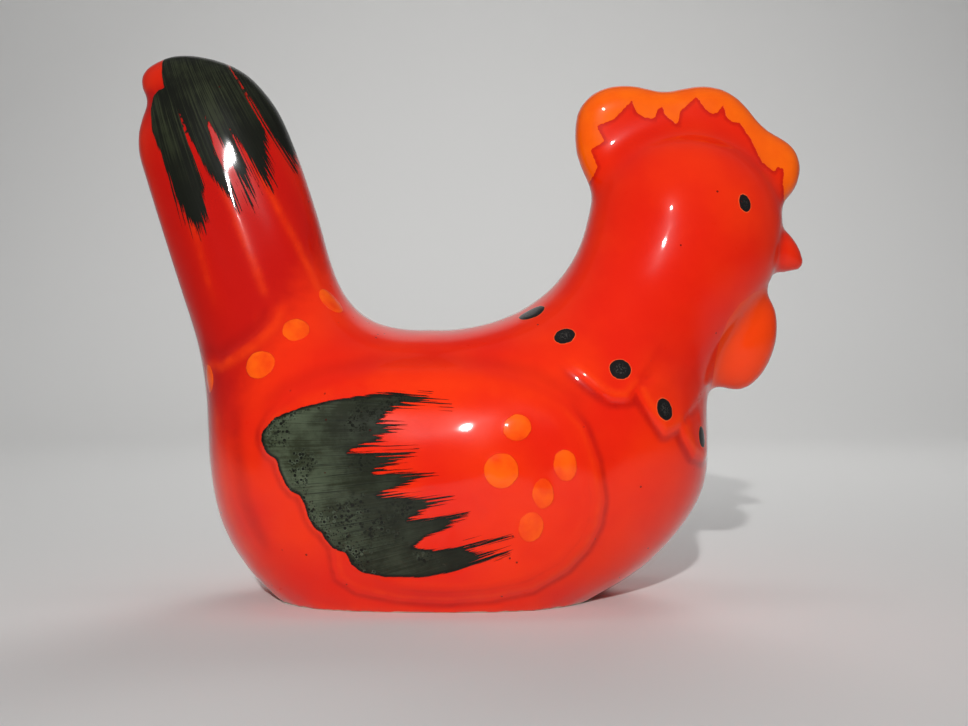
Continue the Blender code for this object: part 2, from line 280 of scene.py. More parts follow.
# %% [markdown]
# ## Which skin is glazed
#
# The potter pours the clay hollow and glazes only the outside. A ray that
# leaves an outside point sideways meets nothing more; a ray from an inner wall,
# or from the hollow of the foot, meets the wall outside it.

# %% Find the inner walls
RAY_START, RAY_LENGTH = 0.6, 80.0
LIP_WIDTH, LIP_LEVEL = 3.0, 54.5             # glaze runs a little way into the slot
FOOT_LEVEL, FACES_DOWN = 0.3, -0.85

tree = BVHTree.FromPolygons([Vector(p) for p in points],
                            [tuple(f.vertices) for f in skin.polygons])
normals = read_normals(skin)
bare = np.zeros(len(points))
for index, (place, normal) in enumerate(zip(points, normals)):
    sideways = Vector((0.0, 1.0 if place[1] > 0.0 else -1.0, 0.0))
    off_the_skin = Vector(place + normal * RAY_START)
    if tree.ray_cast(off_the_skin, sideways, RAY_LENGTH)[0] is not None:
        bare[index] = 1.0
bare[(off_slot < LIP_WIDTH) & (points[:, 2] > LIP_LEVEL)] = 0.0
bare[(points[:, 2] < FOOT_LEVEL) & (normals[:, 2] < FACES_DOWN)] = 1.0
outer = 1.0 - relax(bare, 0.5, 2)
keep("bare_clay", 1.0 - outer)

# %% [markdown]
# ## Low relief of the tail
#
# The mould had feathers cut into it, so low that on the bird they show mostly
# as lines of light. Long crests run down the tail and would all meet in one
# point above it. The angle seen from that point tells how far a place is from
# the nearest crest. Thick paint nearly fills the crests near the tip.

# %% Model the tail feathers
TAIL_FAN = (-85.6, 171.0)                    # where the tail's lines would meet
FIRST_CREST, CREST_STEP, CREST_WIDTH = 0.407, 0.105, 0.10
CREST_HEIGHT, SWELL_HEIGHT = 0.05, 0.13

x, y, z = points.T
tail_turn = (x - TAIL_FAN[0]) / (TAIL_FAN[1] - z)
feather_phase = (tail_turn - FIRST_CREST) / CREST_STEP
crest = bell(feather_phase - np.round(feather_phase), CREST_WIDTH)
swell = np.cos(2.0 * np.pi * feather_phase)
on_tail = (rise_between(z, 57.0, 67.0) * fall_between(z, 104.0, 114.0)
           * fall_between(x, -30.0, -24.0) * fall_between(tail_turn, 0.56, 0.64)
           * rise_between(abs(normals[:, 1]), 0.3, 0.7))
under_paint = 0.25 + 0.75 * fall_between(z, 80.0, 96.0)
tail_height = on_tail * under_paint * (CREST_HEIGHT * crest + SWELL_HEIGHT * swell)
print("tail feathers:", round(float(np.ptp(tail_height)), 2), "mm from hollow to crest")

# %% [markdown]
# ## Collar, hem and wing
#
# The hackle collar of the neck, the hem at the foot of the tail and the wing
# each end in a soft step along a drawn line. Its colour carries a painted
# highlight on the edge of a step and painted shade in the hollow below it. So
# every line gives a height in millimetres, and a tone of painted light and
# shade that the shader reads later.


# %% Collar of the neck and hem of the tail
def step_up(line, height, width, fade):
    """A step that rises on the positive side of a line and then dies away."""
    return height * rise_between(line, -width, width) * np.exp(-np.maximum(line, 0.0) / fade)


def step_highlight_and_shade(line, width):
    """Painted light at a step: 1 for a painted highlight on its edge, -1 for painted shade in the
    hollow at its foot.
    """
    return bell(line - width, width) - bell(line + width, width)


HACKLE_HEM = [(7.0, 62.5), (10.1, 59.4), (12.3, 56.3), (16.5, 51.8), (20.0, 48.4),
              (22.5, 46.6), (25.2, 44.3), (28.1, 42.3), (31.4, 42.3), (33.0, 44.7),
              (34.2, 42.2), (35.8, 39.7), (38.7, 35.5), (41.4, 36.6), (42.2, 37.4),
              (42.9, 34.6), (45.1, 30.8), (48.1, 29.6), (50.0, 30.2)]
TAIL_HEM = [(-54.6, 50.8), (-50.5, 50.2), (-48.5, 51.6), (-43.5, 54.9), (-40.3, 58.4),
            (-39.2, 61.5)]

on_side = rise_between(abs(y), 6.0, 14.0)
hem = line_distance(HACKLE_HEM)
near_hem = rise_between(x, 15.0, 24.0)
tail_hem = -line_distance(TAIL_HEM)
near_tail_hem = (rise_between(z, 44.0, 50.0) * fall_between(z, 60.0, 64.0)
                 * fall_between(x, -40.0, -34.0))
collar_height = (near_hem * step_up(hem, 0.85, 0.8, 6.5)
                 + near_tail_hem * step_up(tail_hem, 0.5, 1.0, 6.0))
# Painted highlight on the edge of each step and painted shade in the hollow at its foot.
collar_highlight_and_shade = (near_hem * step_highlight_and_shade(hem, 0.9) * 0.7
               + near_tail_hem * step_highlight_and_shade(tail_hem, 1.6) * 0.55)
print("collar:", round(float(collar_height.max()), 2), "mm high")

# %% Outline and swelling of the wing
WING_SCALLOPS = [(-40.8, 36.0), (-40.9, 34.2), (-39.7, 31.9), (-37.6, 30.6), (-37.1, 28.5),
                 (-35.9, 26.0), (-34.6, 24.4), (-33.0, 23.9), (-32.0, 22.1), (-31.3, 19.4),
                 (-29.9, 17.2), (-28.6, 16.6), (-28.0, 15.3), (-26.4, 13.4)]
WING_EDGE = [(-26.2, 10.5), (-25.6, 7.4), (-22.0, 4.9), (-14.1, 3.2), (-5.1, 2.6), (4.2, 3.2),
             (12.7, 5.0), (19.4, 8.8), (23.3, 13.2), (25.5, 17.8), (26.2, 23.0), (24.9, 30.5),
             (22.5, 37.0), (18.4, 42.0), (12.0, 45.4), (4.0, 47.2), (-8.0, 47.9), (-20.0, 47.4),
             (-28.0, 45.8), (-35.2, 42.6), (-39.0, 39.2)]
SECOND_FOLD = 3.0                            # how far inside the edge it runs

wing_edge = line_distance(WING_SCALLOPS + WING_EDGE, closed=True)
wing_upper = rise_between(z, 36.0, 44.0)
wing_lower = 1.0 - wing_upper
near_second = wing_lower * rise_between(x, -20.0, -10.0)
wing_bulge = 0.7 * bell(x - 1.0, 12.0) * bell(z - 31.0, 17.0)
wing_height = (wing_bulge + wing_lower * step_up(wing_edge, 0.45, 0.9, 6.0)
               + wing_upper * step_up(wing_edge, 0.5, 3.5, 9.0)
               + near_second * step_up(wing_edge - SECOND_FOLD, 0.2, 0.8, 5.0))
# Painted highlight on the wing's edges and painted shade in the hollows below them.
wing_highlight_and_shade = (wing_lower * step_highlight_and_shade(wing_edge, 0.8) * 0.55
             + wing_upper * step_highlight_and_shade(wing_edge, 2.5) * 0.3
             + near_second * step_highlight_and_shade(wing_edge - SECOND_FOLD, 0.7) * 0.35)
print("wing:", round(float(wing_height.max()), 2), "mm high")

# %% [markdown]
# ## Add up the relief
#
# Three low swellings shape the head, the neck and the shoulder, where a lamp
# shows as short bright spots. Down the rump there is no relief, only a painted
# highlight beside a band of painted shade. All heights are then added along the
# normals, on the outside only.

# %% Raise the skin
SWELLINGS = [(40.3, 83.5, 5.5, 0.4), (31.0, 62.5, 5.5, 0.35), (22.5, 52.5, 4.0, 0.3)]
RUMP_LINE = [(-52.1, 45.1), (-50.7, 31.8), (-49.1, 21.5), (-46.0, 14.3), (-39.4, 5.1)]

swelling = sum(rise * bell(x - across, size) * bell(z - up, size)
               for across, up, size, rise in SWELLINGS)
height = outer * (relax(tail_height, 0.5, 2) + swelling * on_side
                  + relax((collar_height + wing_height) * on_side, 0.6, 3))
points = points + normals * height[:, None]
print("tallest relief:", round(float(height.max()), 2), "mm")

# Down the rump: a painted highlight along the line and a band of painted shade beside it, with no
# relief.
rump = line_distance(RUMP_LINE)
near_rump = (rise_between(z, 4.0, 14.0) * fall_between(z, 38.0, 46.0)
             * fall_between(x, -42.0, -36.0))
rump_highlight_and_shade = near_rump * (0.45 * bell(rump, 1.6) - 0.4 * bell(rump - 4.5, 2.4))
# Painted highlight along the tail's crests.
tail_crest_highlight = on_tail * crest * rise_between(feather_phase, -1.6, -0.6) * 0.55
# All the painted highlight and painted shade, stored for the shader.
painted_light_and_shade = (collar_highlight_and_shade + wing_highlight_and_shade + rump_highlight_and_shade) * on_side + tail_crest_highlight
keep("painted_light_and_shade", relax(painted_light_and_shade * outer, 0.5, 2))

# %% [markdown]
# ## Spots of enamel
#
# Each spot is a drop from a loaded brush. It is round on the skin, not in the
# view, so its distance is measured in space from a centre on the skin: the
# helper drops the centre onto the casting from the side. Both sides carry the
# same spots.


# %% Measure the spots
OUTSIDE = -60.0                              # a y well clear of the bird's side


def on_skin(across, up):
    """The place on the right side of the bird at this x and z."""
    return np.array(tree.ray_cast(Vector((across, OUTSIDE, up)), Vector((0.0, 1.0, 0.0)))[0])


def spot_distance(spots):
    """How deep each point lies inside the nearest spot, in millimetres. A spot
    is x, z, its half length, its half height and its lean in degrees."""
    folded = np.column_stack([x, -abs(y), z])
    best = np.full(len(points), -99.0)
    for across, up, half_long, half_high, lean in spots:
        off = folded - on_skin(across, up)
        turn = np.radians(lean)
        along = off[:, 0] * np.cos(turn) + off[:, 2] * np.sin(turn)
        rest = np.sqrt(np.maximum((off ** 2).sum(1) - along ** 2, 0.0))
        reach = np.sqrt((along / half_long) ** 2 + (rest / half_high) ** 2)
        size = min(half_long, half_high)
        best = np.maximum(best, (1.0 - reach) * size)
    return best


x, y, z = points.T
ORANGE_SPOTS = [(9.4, 37.0, 2.9, 2.6, 30.0), (6.3, 28.8, 3.4, 3.45, 0.0),
                (18.7, 29.8, 3.1, 2.35, 100.0), (14.4, 24.3, 2.95, 2.1, 92.0),
                (12.1, 17.9, 2.95, 2.45, 80.0), (-35.0, 56.3, 2.75, 2.7, 0.0),
                (-41.8, 49.2, 3.2, 2.9, 0.0), (-28.8, 62.3, 3.4, 2.3, 120.0),
                (-53.6, 46.4, 2.9, 2.1, 100.0)]
BLACK_SPOTS = [(12.9, 59.9, 2.9, 2.6, 20.0), (19.2, 54.8, 2.15, 2.0, 10.0),
               (29.9, 48.2, 2.25, 2.15, 0.0), (38.6, 40.3, 2.4, 2.0, 110.0),
               (47.2, 34.4, 2.3, 1.9, 100.0)]
EYES = [(56.7, 82.5, 1.95, 1.4, 105.0)]
ORANGE_DOME, BLACK_DOME = 0.16, 0.10         # how far the drops stand proud

orange_spot = keep("orange_spot", spot_distance(ORANGE_SPOTS))
black_spot = keep("black_spot", spot_distance(BLACK_SPOTS))
eye_spot = keep("eye_spot", spot_distance(EYES))
black_drop = np.maximum(black_spot, eye_spot)
doming = (ORANGE_DOME * rise_between(orange_spot, -0.2, 1.1)
          + BLACK_DOME * rise_between(black_drop, -0.2, 0.8))
points = points + normals * (doming * outer)[:, None]

# %% [markdown]
# ## Brushed areas
#
# The comb and the wattle are orange, with a jagged border where the red was
# brushed up to it. The wing and the tail carry broad strokes of green-black.
# A stroke starts with a clean rounded edge and runs out in bristle tips.
#
# So each brushed area gets three numbers: how far a point is inside the clean
# outline, how much of the stroke is left before the brush ran dry, and where
# the point lies across the brush. The shader makes the bristles from them.

# %% Borders of comb and wattle
x, y, z = points.T
COMB_BORDER = [(22.8, 84.2), (26.0, 88.9), (27.1, 91.1), (25.6, 94.9), (28.6, 96.4),
               (26.8, 99.7), (30.6, 101.2), (34.3, 105.2), (35.2, 102.6), (36.8, 101.6),
               (39.0, 101.2), (40.4, 104.4), (41.4, 102.0), (43.0, 100.6), (43.9, 99.8),
               (44.6, 102.9), (48.1, 106.1), (49.6, 103.6), (51.0, 102.3), (52.0, 102.2),
               (53.6, 104.2), (54.4, 101.4), (55.7, 100.6), (57.2, 100.4), (59.5, 96.8),
               (61.6, 91.9), (64.4, 90.0), (65.2, 91.2), (66.5, 90.6), (66.3, 87.5),
               (66.8, 84.0), (76.0, 82.0), (76.0, 120.0), (14.0, 120.0), (14.0, 84.0)]
WATTLE_BORDER = [(66.5, 67.0), (63.0, 65.6), (59.6, 64.4), (56.1, 61.9), (53.6, 58.5),
                 (52.0, 54.0), (51.4, 49.2), (51.2, 43.5), (51.2, 36.0), (78.0, 36.0),
                 (78.0, 67.0)]
keep("comb_line", line_distance(COMB_BORDER, closed=True))
keep("wattle_line", line_distance(WATTLE_BORDER, closed=True))

# %% Outlines of the strokes
WING_CORNER = [(-23.9, 12.6), (-22.9, 10.3), (-20.9, 8.7), (-16.2, 7.9)]
WING_TIPS = [(-8.5, 7.9), (-2.0, 9.3), (3.0, 11.4), (7.4, 12.9), (1.0, 12.9), (-0.5, 13.6),
             (8.4, 15.9), (-1.5, 14.2), (-6.5, 13.4), (-10.9, 13.9), (-8.0, 16.0), (-4.0, 17.6),
             (-0.2, 20.8), (-5.0, 19.9), (-11.8, 19.3), (-8.0, 21.2), (-3.0, 23.9), (-9.0, 23.8),
             (-17.8, 23.9), (-12.0, 26.0), (-6.8, 28.5), (-11.5, 28.6), (-18.4, 28.4),
             (-14.0, 30.4), (-9.6, 32.8), (-16.0, 32.5), (-23.4, 32.2), (-18.0, 34.6),
             (-12.2, 37.3), (-15.0, 37.6), (-17.6, 38.2), (-15.5, 39.8), (-12.5, 41.2),
             (-8.5, 41.9), (-3.4, 41.2), (-8.0, 42.5), (-7.6, 43.5), (-13.0, 43.7)]
WING_TOP = [(-18.5, 43.4), (-26.3, 42.5), (-33.0, 40.9), (-38.1, 38.9)]
TAIL_PAINT = [(-64.6, 125.0), (-65.3, 113.6), (-64.9, 110.0), (-64.3, 107.4), (-65.6, 107.2),
              (-67.0, 105.9), (-67.4, 103.4), (-66.8, 98.5), (-64.3, 92.5), (-61.9, 84.5),
              (-58.9, 79.0), (-55.6, 74.2), (-55.0, 80.0), (-55.2, 86.6), (-57.0, 91.0),
              (-58.8, 95.7), (-61.2, 103.2), (-57.9, 95.7), (-55.6, 91.5), (-53.5, 87.9),
              (-51.0, 85.0), (-48.0, 81.4), (-49.0, 86.6), (-51.0, 90.5), (-52.9, 93.6),
              (-55.4, 101.6), (-51.6, 95.5), (-48.0, 88.0), (-44.4, 81.0), (-45.2, 86.0),
              (-46.2, 90.5), (-47.7, 93.5), (-50.8, 99.4), (-46.5, 93.0), (-43.5, 87.8),
              (-41.4, 85.2), (-41.8, 90.5), (-42.2, 94.0), (-42.9, 98.5), (-40.8, 95.7),
              (-38.6, 92.8), (-36.8, 90.4), (-36.6, 97.0), (-30.0, 98.0), (-30.0, 125.0)]
TAIL_GAP = [(-52.4, 114.5), (-48.0, 107.8), (-45.0, 102.7), (-42.9, 98.5)]
GAP_HALF_WIDTH = 0.12                        # bare red between two tail strokes

wing_paint_outline = WING_SCALLOPS + WING_CORNER + WING_TIPS + WING_TOP
keep("wing_line", line_distance(wing_paint_outline, closed=True))
off_gap = abs(line_distance(TAIL_GAP)) - GAP_HALF_WIDTH
keep("tail_line", np.minimum(line_distance(TAIL_PAINT, closed=True), off_gap))

# %% [markdown]
# ### Across and along the brush
#
# The bristles of a stroke run towards one point: of the wing's strokes ahead
# of the breast, and of the tail's strokes above the tail. The angle seen from
# that point says where a place lies across the brush, and the distance says
# where it lies along it. A short table gives the distance at which the brush
# ran dry for each angle.

# %% Measure the strokes
WING_FAN = (78.0, 37.0)                      # where the wing's strokes would meet
WING_DRY = ([-0.34, -0.31, -0.21, -0.10, 0.0, 0.06], [71.0, 71.0, 79.0, 86.0, 91.0, 83.0])
TAIL_DRY = ([0.27, 0.32, 0.46, 0.61], [94.0, 98.5, 97.0, 92.0])
BRUSH_SCALE = 90.0                           # turns an angle into millimetres

turn = (z - WING_FAN[1]) / (WING_FAN[0] - x)
reach = np.hypot(WING_FAN[0] - x, z - WING_FAN[1])
keep("wing_across", turn * BRUSH_SCALE)
keep("wing_run", reach)
keep("wing_left", reach - np.interp(turn, *WING_DRY))
turn = (x - TAIL_FAN[0]) / (TAIL_FAN[1] - z)
reach = np.hypot(x - TAIL_FAN[0], TAIL_FAN[1] - z)
keep("tail_across", turn * BRUSH_SCALE)
keep("tail_run", reach)
keep("tail_left", np.interp(turn, *TAIL_DRY) - reach)

# %% [markdown]
# ## How the glaze breaks over edges
#
# Melted glaze runs off ridges and collects in hollows, so it is brighter and
# thinner on the one and deeper on the other. How far a point stands above its
# smoothed surroundings says which it is.

# %% Measure ridges and hollows
surroundings = relax(points, 0.8, 12)
ridge = ((points - surroundings) * normals).sum(1)
keep("ridge", relax(ridge, 0.5, 3))

# %% [markdown]
# ## Fit the box of the solid
#
# The relief made the skin a little wider than the solid. Scaling keeps every
# curve fair where clipping would leave a flat, so each half of the length, the
# width and the height are scaled by the few hundredths that are too much.

# %% Scale into the box
ROOM, FLOOR_ROOM = 0.01, 0.005


def shrink_to(values, limit):
    """The factor that brings the largest of these values inside a limit."""
    return min(1.0, (limit - ROOM) / values.max())


low, high = (np.array(corner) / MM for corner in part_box("rooster_casting"))
rearward = points[:, 0] < 0.0
points[:, 0] *= np.where(rearward, shrink_to(-points[:, 0], -low[0]),
                         shrink_to(points[:, 0], high[0]))
points[:, 1] *= shrink_to(abs(points[:, 1]), high[1])
points[:, 2] *= shrink_to(points[:, 2], high[2])
points[:, 2] = np.maximum(points[:, 2], low[2] + FLOOR_ROOM)
write_points(skin, points)
print("fitted box:", np.round(points.min(0), 2), np.round(points.max(0), 2))

# %% [markdown]
# ## Fewer faces where nobody looks
#
# The wall of the hollow has as many small faces as the outside, though nobody
# sees it. A Decimate modifier that is limited to a vertex group joins only the
# faces of that wall, and the painted outside keeps all of its own.

# %% Thin the inner wall
FACES_KEPT = 0.66
HIDDEN_LEVEL, SLOT_MARGIN = 8.0, 6.0         # foot and slot keep their faces


def thin_inside(mesh, hidden):
    """Joins faces among the marked points of a mesh."""
    blank = link_piece("casting_blank", mesh)
    group = blank.vertex_groups.new(name="inner_wall")
    group.add([int(index) for index in np.flatnonzero(hidden)], 1.0, "REPLACE")
    thin = blank.modifiers.new("thin_inside", "DECIMATE")
    thin.ratio, thin.vertex_group = FACES_KEPT, "inner_wall"
    light = finished_copy(blank)
    bpy.data.objects.remove(blank)
    bpy.data.meshes.remove(mesh)
    return light


deep_inside = (outer < 0.05) & (points[:, 2] > HIDDEN_LEVEL) & (off_slot > SLOT_MARGIN)
skin = thin_inside(skin, deep_inside)
skin.name = "rooster_glaze"
print("hidden points:", int(deep_inside.sum()), "of", len(points))
print("points left:", len(skin.vertices))

# %% Put the casting in its place
casting = link_piece("rooster_glaze", skin)
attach(casting, "rooster")
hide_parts("rooster_casting")
print("casting:", len(skin.polygons), "faces")

# %% [markdown]
# ## Shader sums as plain Python
#
# A shader is a net of small nodes. Writing it by hand is long, so one class
# wraps an output socket and lets Python's own signs make the Math nodes:
# `1 - mask` adds one Subtract node. Every other node comes from one method.


# %% Wrap a socket
class Tone:
    """One output of a node tree, which + - * and the methods below can work on."""

    def __init__(self, tree, socket=None):
        self.tree, self.socket = tree, socket

    def node(self, kind, settings=None, sockets=None, output=0):
        """Adds a node: its settings first, then the values or links of its sockets."""
        added = self.tree.nodes.new("ShaderNode" + kind)
        for name, value in (settings or {}).items():
            setattr(added, name, value)
        for name, value in (sockets or {}).items():
            if isinstance(value, Tone):
                self.tree.links.new(value.socket, added.inputs[name])
            else:
                added.inputs[name].default_value = value
        return Tone(self.tree, added.outputs[output]) if len(added.outputs) else None

    def math(self, operation, *values):
        return self.node("Math", {"operation": operation}, dict(enumerate(values)))

    def __add__(self, other):
        return self.math("ADD", self, other)

    __radd__ = __add__

    def __sub__(self, other):
        return self.math("SUBTRACT", self, other)

    def __rsub__(self, other):
        return self.math("SUBTRACT", other, self)

    def __mul__(self, other):
        return self.math("MULTIPLY", self, other)

    __rmul__ = __mul__

    def rise(self, low, high):
        """0 below low, 1 above high, soft in between."""
        return self.node("MapRange", {"interpolation_type": "SMOOTHSTEP"},
                         {"Value": self, "From Min": low, "From Max": high})

    def most(self, other):
        return self.math("MAXIMUM", self, other)


def blend_colors(factor, under, over):
    """The over colour where factor is 1, the under colour where it is 0."""
    return factor.node("Mix", {"data_type": "RGBA"}, {0: factor, 6: under, 7: over}, output=2)


def mask_out(mask, start, end):
    """1 where a tone is below start, 0 where it is above end."""
    return 1.0 - mask.rise(start, end)


def color(red, green, blue):
    return (red, green, blue, 1.0)


# %% [markdown]
# ## The glaze and its paint
#
# One material covers the casting, as one firing did. From the clay up: bare
# cream clay inside and on the foot, red glaze with darker and lighter clouds,
# orange on comb, wattle and spots, then the green-black strokes and the black
# spots. Each layer is a mask that mixes its colour over what is below it.
#
# The stored distances are in millimetres, and so are the textures, because the
# Object coordinates are multiplied by 1000.

# %% Start a material
def new_material(name):
    """An empty material, a Tone to start from, and the place in millimetres."""
    material = bpy.data.materials.new(name)
    material.use_nodes = True
    material.node_tree.nodes.clear()
    first = Tone(material.node_tree)
    metres = first.node("TexCoord", output="Object")
    return material, first, first.node("VectorMath", {"operation": "SCALE"},
                                       {0: metres, "Scale": 1.0 / MM})


def speckle(vector, scale, detail=2.0, roughness=0.5):
    """Cloudy noise between 0 and 1; scale is in clouds for each millimetre."""
    return vector.node("TexNoise", {}, {"Vector": vector, "Scale": scale, "Detail": detail,
                                        "Roughness": roughness}, output="Fac")


def cells(vector, scale):
    """Distance to the nearest of many scattered points."""
    return vector.node("TexVoronoi", {}, {"Vector": vector, "Scale": scale}, output="Distance")


glaze, start, place = new_material("red_glaze_and_paint")


def stored(name):
    """A number that was stored at every point of the skin."""
    return start.node("Attribute", {"attribute_name": name}, output="Fac")


def streaks(across, run, fineness, stretch, shift):
    """Noise drawn out along a brush stroke."""
    vector = start.node("CombineXYZ", {}, {"X": across * fineness, "Y": run * stretch, "Z": shift})
    return speckle(vector, 1.0, 3.0, 0.6)


# %% [markdown]
# ### Red glaze and orange enamel
#
# The red is clouded by how thickly the glaze lies. It is deeper in hollows and
# more orange where it thins over a ridge. Towards the top and back of the tail
# the red is deeper than on the chest.

# %% Glaze colours
# The first red darkens the red along the comb's border, and is painted shade in the hollows at the
# foot of steps.
BORDER_AND_SHADE_RED = color(0.42, 0.0030, 0.001)
DEEP_RED = color(0.50, 0.0040, 0.001)
FIRE_RED = color(0.74, 0.0120, 0.001)
THIN_RED = color(0.84, 0.0280, 0.001)
# Painted highlight red, for the edges of steps and the tail's crests.
PAINTED_HIGHLIGHT_RED = color(0.88, 0.0480, 0.002)
YELLOW_ORANGE = color(0.95, 0.1500, 0.001)
ORANGE = color(0.95, 0.1150, 0.001)
DEEP_ORANGE = color(0.84, 0.0480, 0.001)

clouds = speckle(place, 0.045, 3.0)
wash = speckle(place, 0.35, 3.0)
ridge_tone = stored("ridge")
height_up = start.node("SeparateXYZ", {}, {"Vector": place}, output="Z")
forward = start.node("SeparateXYZ", {}, {"Vector": place}, output="X")
tail_depth = (height_up * 0.55 - forward).rise(58.0, 84.0)
red = blend_colors(clouds.rise(0.35, 0.72), FIRE_RED, THIN_RED)
red = blend_colors((tail_depth * 0.8 + wash * 0.25).rise(0.2, 0.8), red, DEEP_RED)
red = blend_colors(ridge_tone.rise(0.02, 0.20) * 0.55, red, THIN_RED)
red = blend_colors((0.0 - ridge_tone).rise(0.03, 0.22) * 0.6, red, DEEP_RED)
# Painted highlight and painted shade along the steps of collar, hem, wing and rump and on the
# tail's crests: the red is lightened on each edge and darkened in the hollow at its foot.
painted_light_and_shade_mix = stored("painted_light_and_shade") * (0.5 + wash) + (wash - 0.5) * 0.2
red = blend_colors(painted_light_and_shade_mix.rise(0.08, 0.9) * 0.8, red, PAINTED_HIGHLIGHT_RED)
red = blend_colors((0.0 - painted_light_and_shade_mix).rise(0.08, 0.7) * 0.8, red, BORDER_AND_SHADE_RED)

# %% Orange enamel on comb, wattle and spots
brushed = (speckle(place, 1.6, 3.0) - 0.5) * 0.7
comb_line = stored("comb_line") + brushed * 0.8
comb_mask = comb_line.rise(-0.06, 0.10)
wattle_mask = (stored("wattle_line") + brushed * 0.3).rise(-0.10, 0.15)
spot_edge = (speckle(place, 0.5) - 0.5) * 0.5
orange_mask = (stored("orange_spot") + spot_edge).rise(-0.05, 0.09)
enamel_clouds = (speckle(place, 0.12, 3.0) * 0.6 + wash * 0.4).rise(0.35, 0.65)
orange_tone = blend_colors(enamel_clouds * (1.0 - wattle_mask * 0.95), DEEP_ORANGE, ORANGE)
orange_tone = blend_colors(comb_mask * 0.6, orange_tone, YELLOW_ORANGE)
comb_rim = comb_line.rise(-1.1, -0.05) * (1.0 - comb_mask)
red = blend_colors(comb_rim * 0.55, red, BORDER_AND_SHADE_RED)
enamel = comb_mask.most(wattle_mask).most(orange_mask)
surface = blend_colors(enamel * 0.97, red, orange_tone)

# %% [markdown]
# ### Brushed feathers
#
# Paint covers fully at the start of a stroke. Near its end only some bristles
# still carry paint. So the cover falls from 1 to 0 over the last millimetres,
# and a bristle shows where its own noise is below the cover. Inside the stroke
# the paint is uneven: grey-green where it lies thick, nearly black where it is
# thin or has pooled at the rim, with small burst bubbles as black pits.


# %% Green-black strokes
def brushed_area(line, left, across, run, shift):
    """Where the paint is, and how it varies along the bristles."""
    bristles = streaks(across, run, 2.6, 0.045, shift)
    hairs = streaks(across, run, 6.0, 0.10, shift + 9.0)
    dry = mask_out(left, 1.0, 20.0)
    ragged = (bristles - 0.5) * (0.5 + dry * 6.5) + (hairs - 0.5) * (0.2 + dry * 2.6)
    return (line + ragged - dry * 0.15).rise(-0.05, 0.10), bristles


wing_left, tail_left = stored("wing_left"), stored("tail_left")
wing_mask, wing_bristles = brushed_area(
    stored("wing_line"), wing_left, stored("wing_across"), stored("wing_run"), 0.0)
tail_mask, tail_bristles = brushed_area(
    stored("tail_line"), tail_left, stored("tail_across"), stored("tail_run"), 40.0)

# %% Colour of the wing's paint
BLACK_GREEN = color(0.008, 0.009, 0.006)
MOSS = color(0.030, 0.036, 0.018)
GREY_GREEN = color(0.095, 0.120, 0.072)
PALE_GREEN = color(0.150, 0.190, 0.130)

thick = wing_left.rise(6.0, 34.0)
bubble_field = (speckle(place, 0.13, 3.0) + thick * 0.12).rise(0.50, 0.62)
big_bubbles, small_bubbles = cells(place, 0.95), cells(place, 1.9)
burst = (0.34 - big_bubbles).rise(0.0, 0.08).most((0.36 - small_bubbles).rise(0.0, 0.10) * 0.8)
pits = burst * bubble_field
rings = ((0.47 - big_bubbles).rise(0.0, 0.06) * bubble_field
         * speckle(place, 0.35).rise(0.50, 0.56) * thick)
mottle = speckle(place, 0.16, 5.0, 0.65) * 0.55 + wing_bristles * 0.45
wing_paint = blend_colors((mottle + thick * 0.10 - 0.06).rise(0.40, 0.60), MOSS, GREY_GREEN)
# The last cover is painted shade: the paint darkens towards the foot.
for cover in ((1.0 - thick) * 0.75,                           # thin towards the dry end
              mask_out(stored("wing_line"), 0.2, 0.9),        # pooled along the rim
              wing_bristles.rise(0.54, 0.66) * 0.75,          # furrows of the bristles
              mask_out(height_up, 9.0, 27.0) * 0.6):          # deeper near the foot
    wing_paint = blend_colors(cover, wing_paint, BLACK_GREEN)
wing_paint = blend_colors(rings * 0.4, wing_paint, PALE_GREEN)
wing_paint = blend_colors(pits, wing_paint, BLACK_GREEN)
surface = blend_colors(wing_mask, surface, wing_paint)

# %% Colour of the tail's paint
tail_grain = (tail_bristles * 0.7 + speckle(place, 0.2, 4.0) * 0.3).rise(0.46, 0.62)
tail_paint = blend_colors(tail_grain * tail_left.rise(4.0, 26.0), BLACK_GREEN, MOSS)
surface = blend_colors(tail_mask, surface, tail_paint)

# %% [markdown]
# ### Black spots, eyes and pinholes
#
# The black enamel pushed the red aside, so each black spot has a thin pale
# rim, and its middle dried to a speckled grey. The pinholes are single bubbles
# that burst in the kiln: a few dark points scattered over the glaze.

# %% Spots and pinholes
INK = color(0.008, 0.007, 0.007)
INK_GREY = color(0.055, 0.052, 0.046)
HALO = color(0.90, 0.13, 0.03)
PIN_BLACK = color(0.05, 0.004, 0.002)

dark_spot = stored("black_spot").most(stored("eye_spot"))
dark_edge = dark_spot + (speckle(place, 0.8) - 0.5) * 0.35
halo = dark_edge.rise(-0.16, -0.08) * mask_out(dark_edge, 0.0, 0.10)
ink_mask = dark_edge.rise(-0.02, 0.08)
dried_middle = dark_spot.rise(0.5, 1.6) * speckle(place, 3.2, 3.0).rise(0.48, 0.62) * 0.9
surface = blend_colors(halo * 0.6, surface, HALO)
surface = blend_colors(ink_mask, surface, blend_colors(dried_middle, INK, INK_GREY))

pin_points = (0.055 - cells(place, 0.22)).rise(0.0, 0.02)
pinholes = pin_points * speckle(place, 0.06).rise(0.45, 0.5) * (1.0 - enamel)
surface = blend_colors(pinholes * 0.85, surface, PIN_BLACK)

# %% [markdown]
# ### Bare clay, gloss and thickness
#
# The foot was wiped clean before firing and the inside was never glazed. Clay
# is matt, so the same mask that shows its colour takes away the glossy coat.
#
# The height of everything is summed in millimetres and given to one Bump node:
# paint that stands proud, bristle marks, pits, pinholes, and the faint waves
# of a dipped glaze.

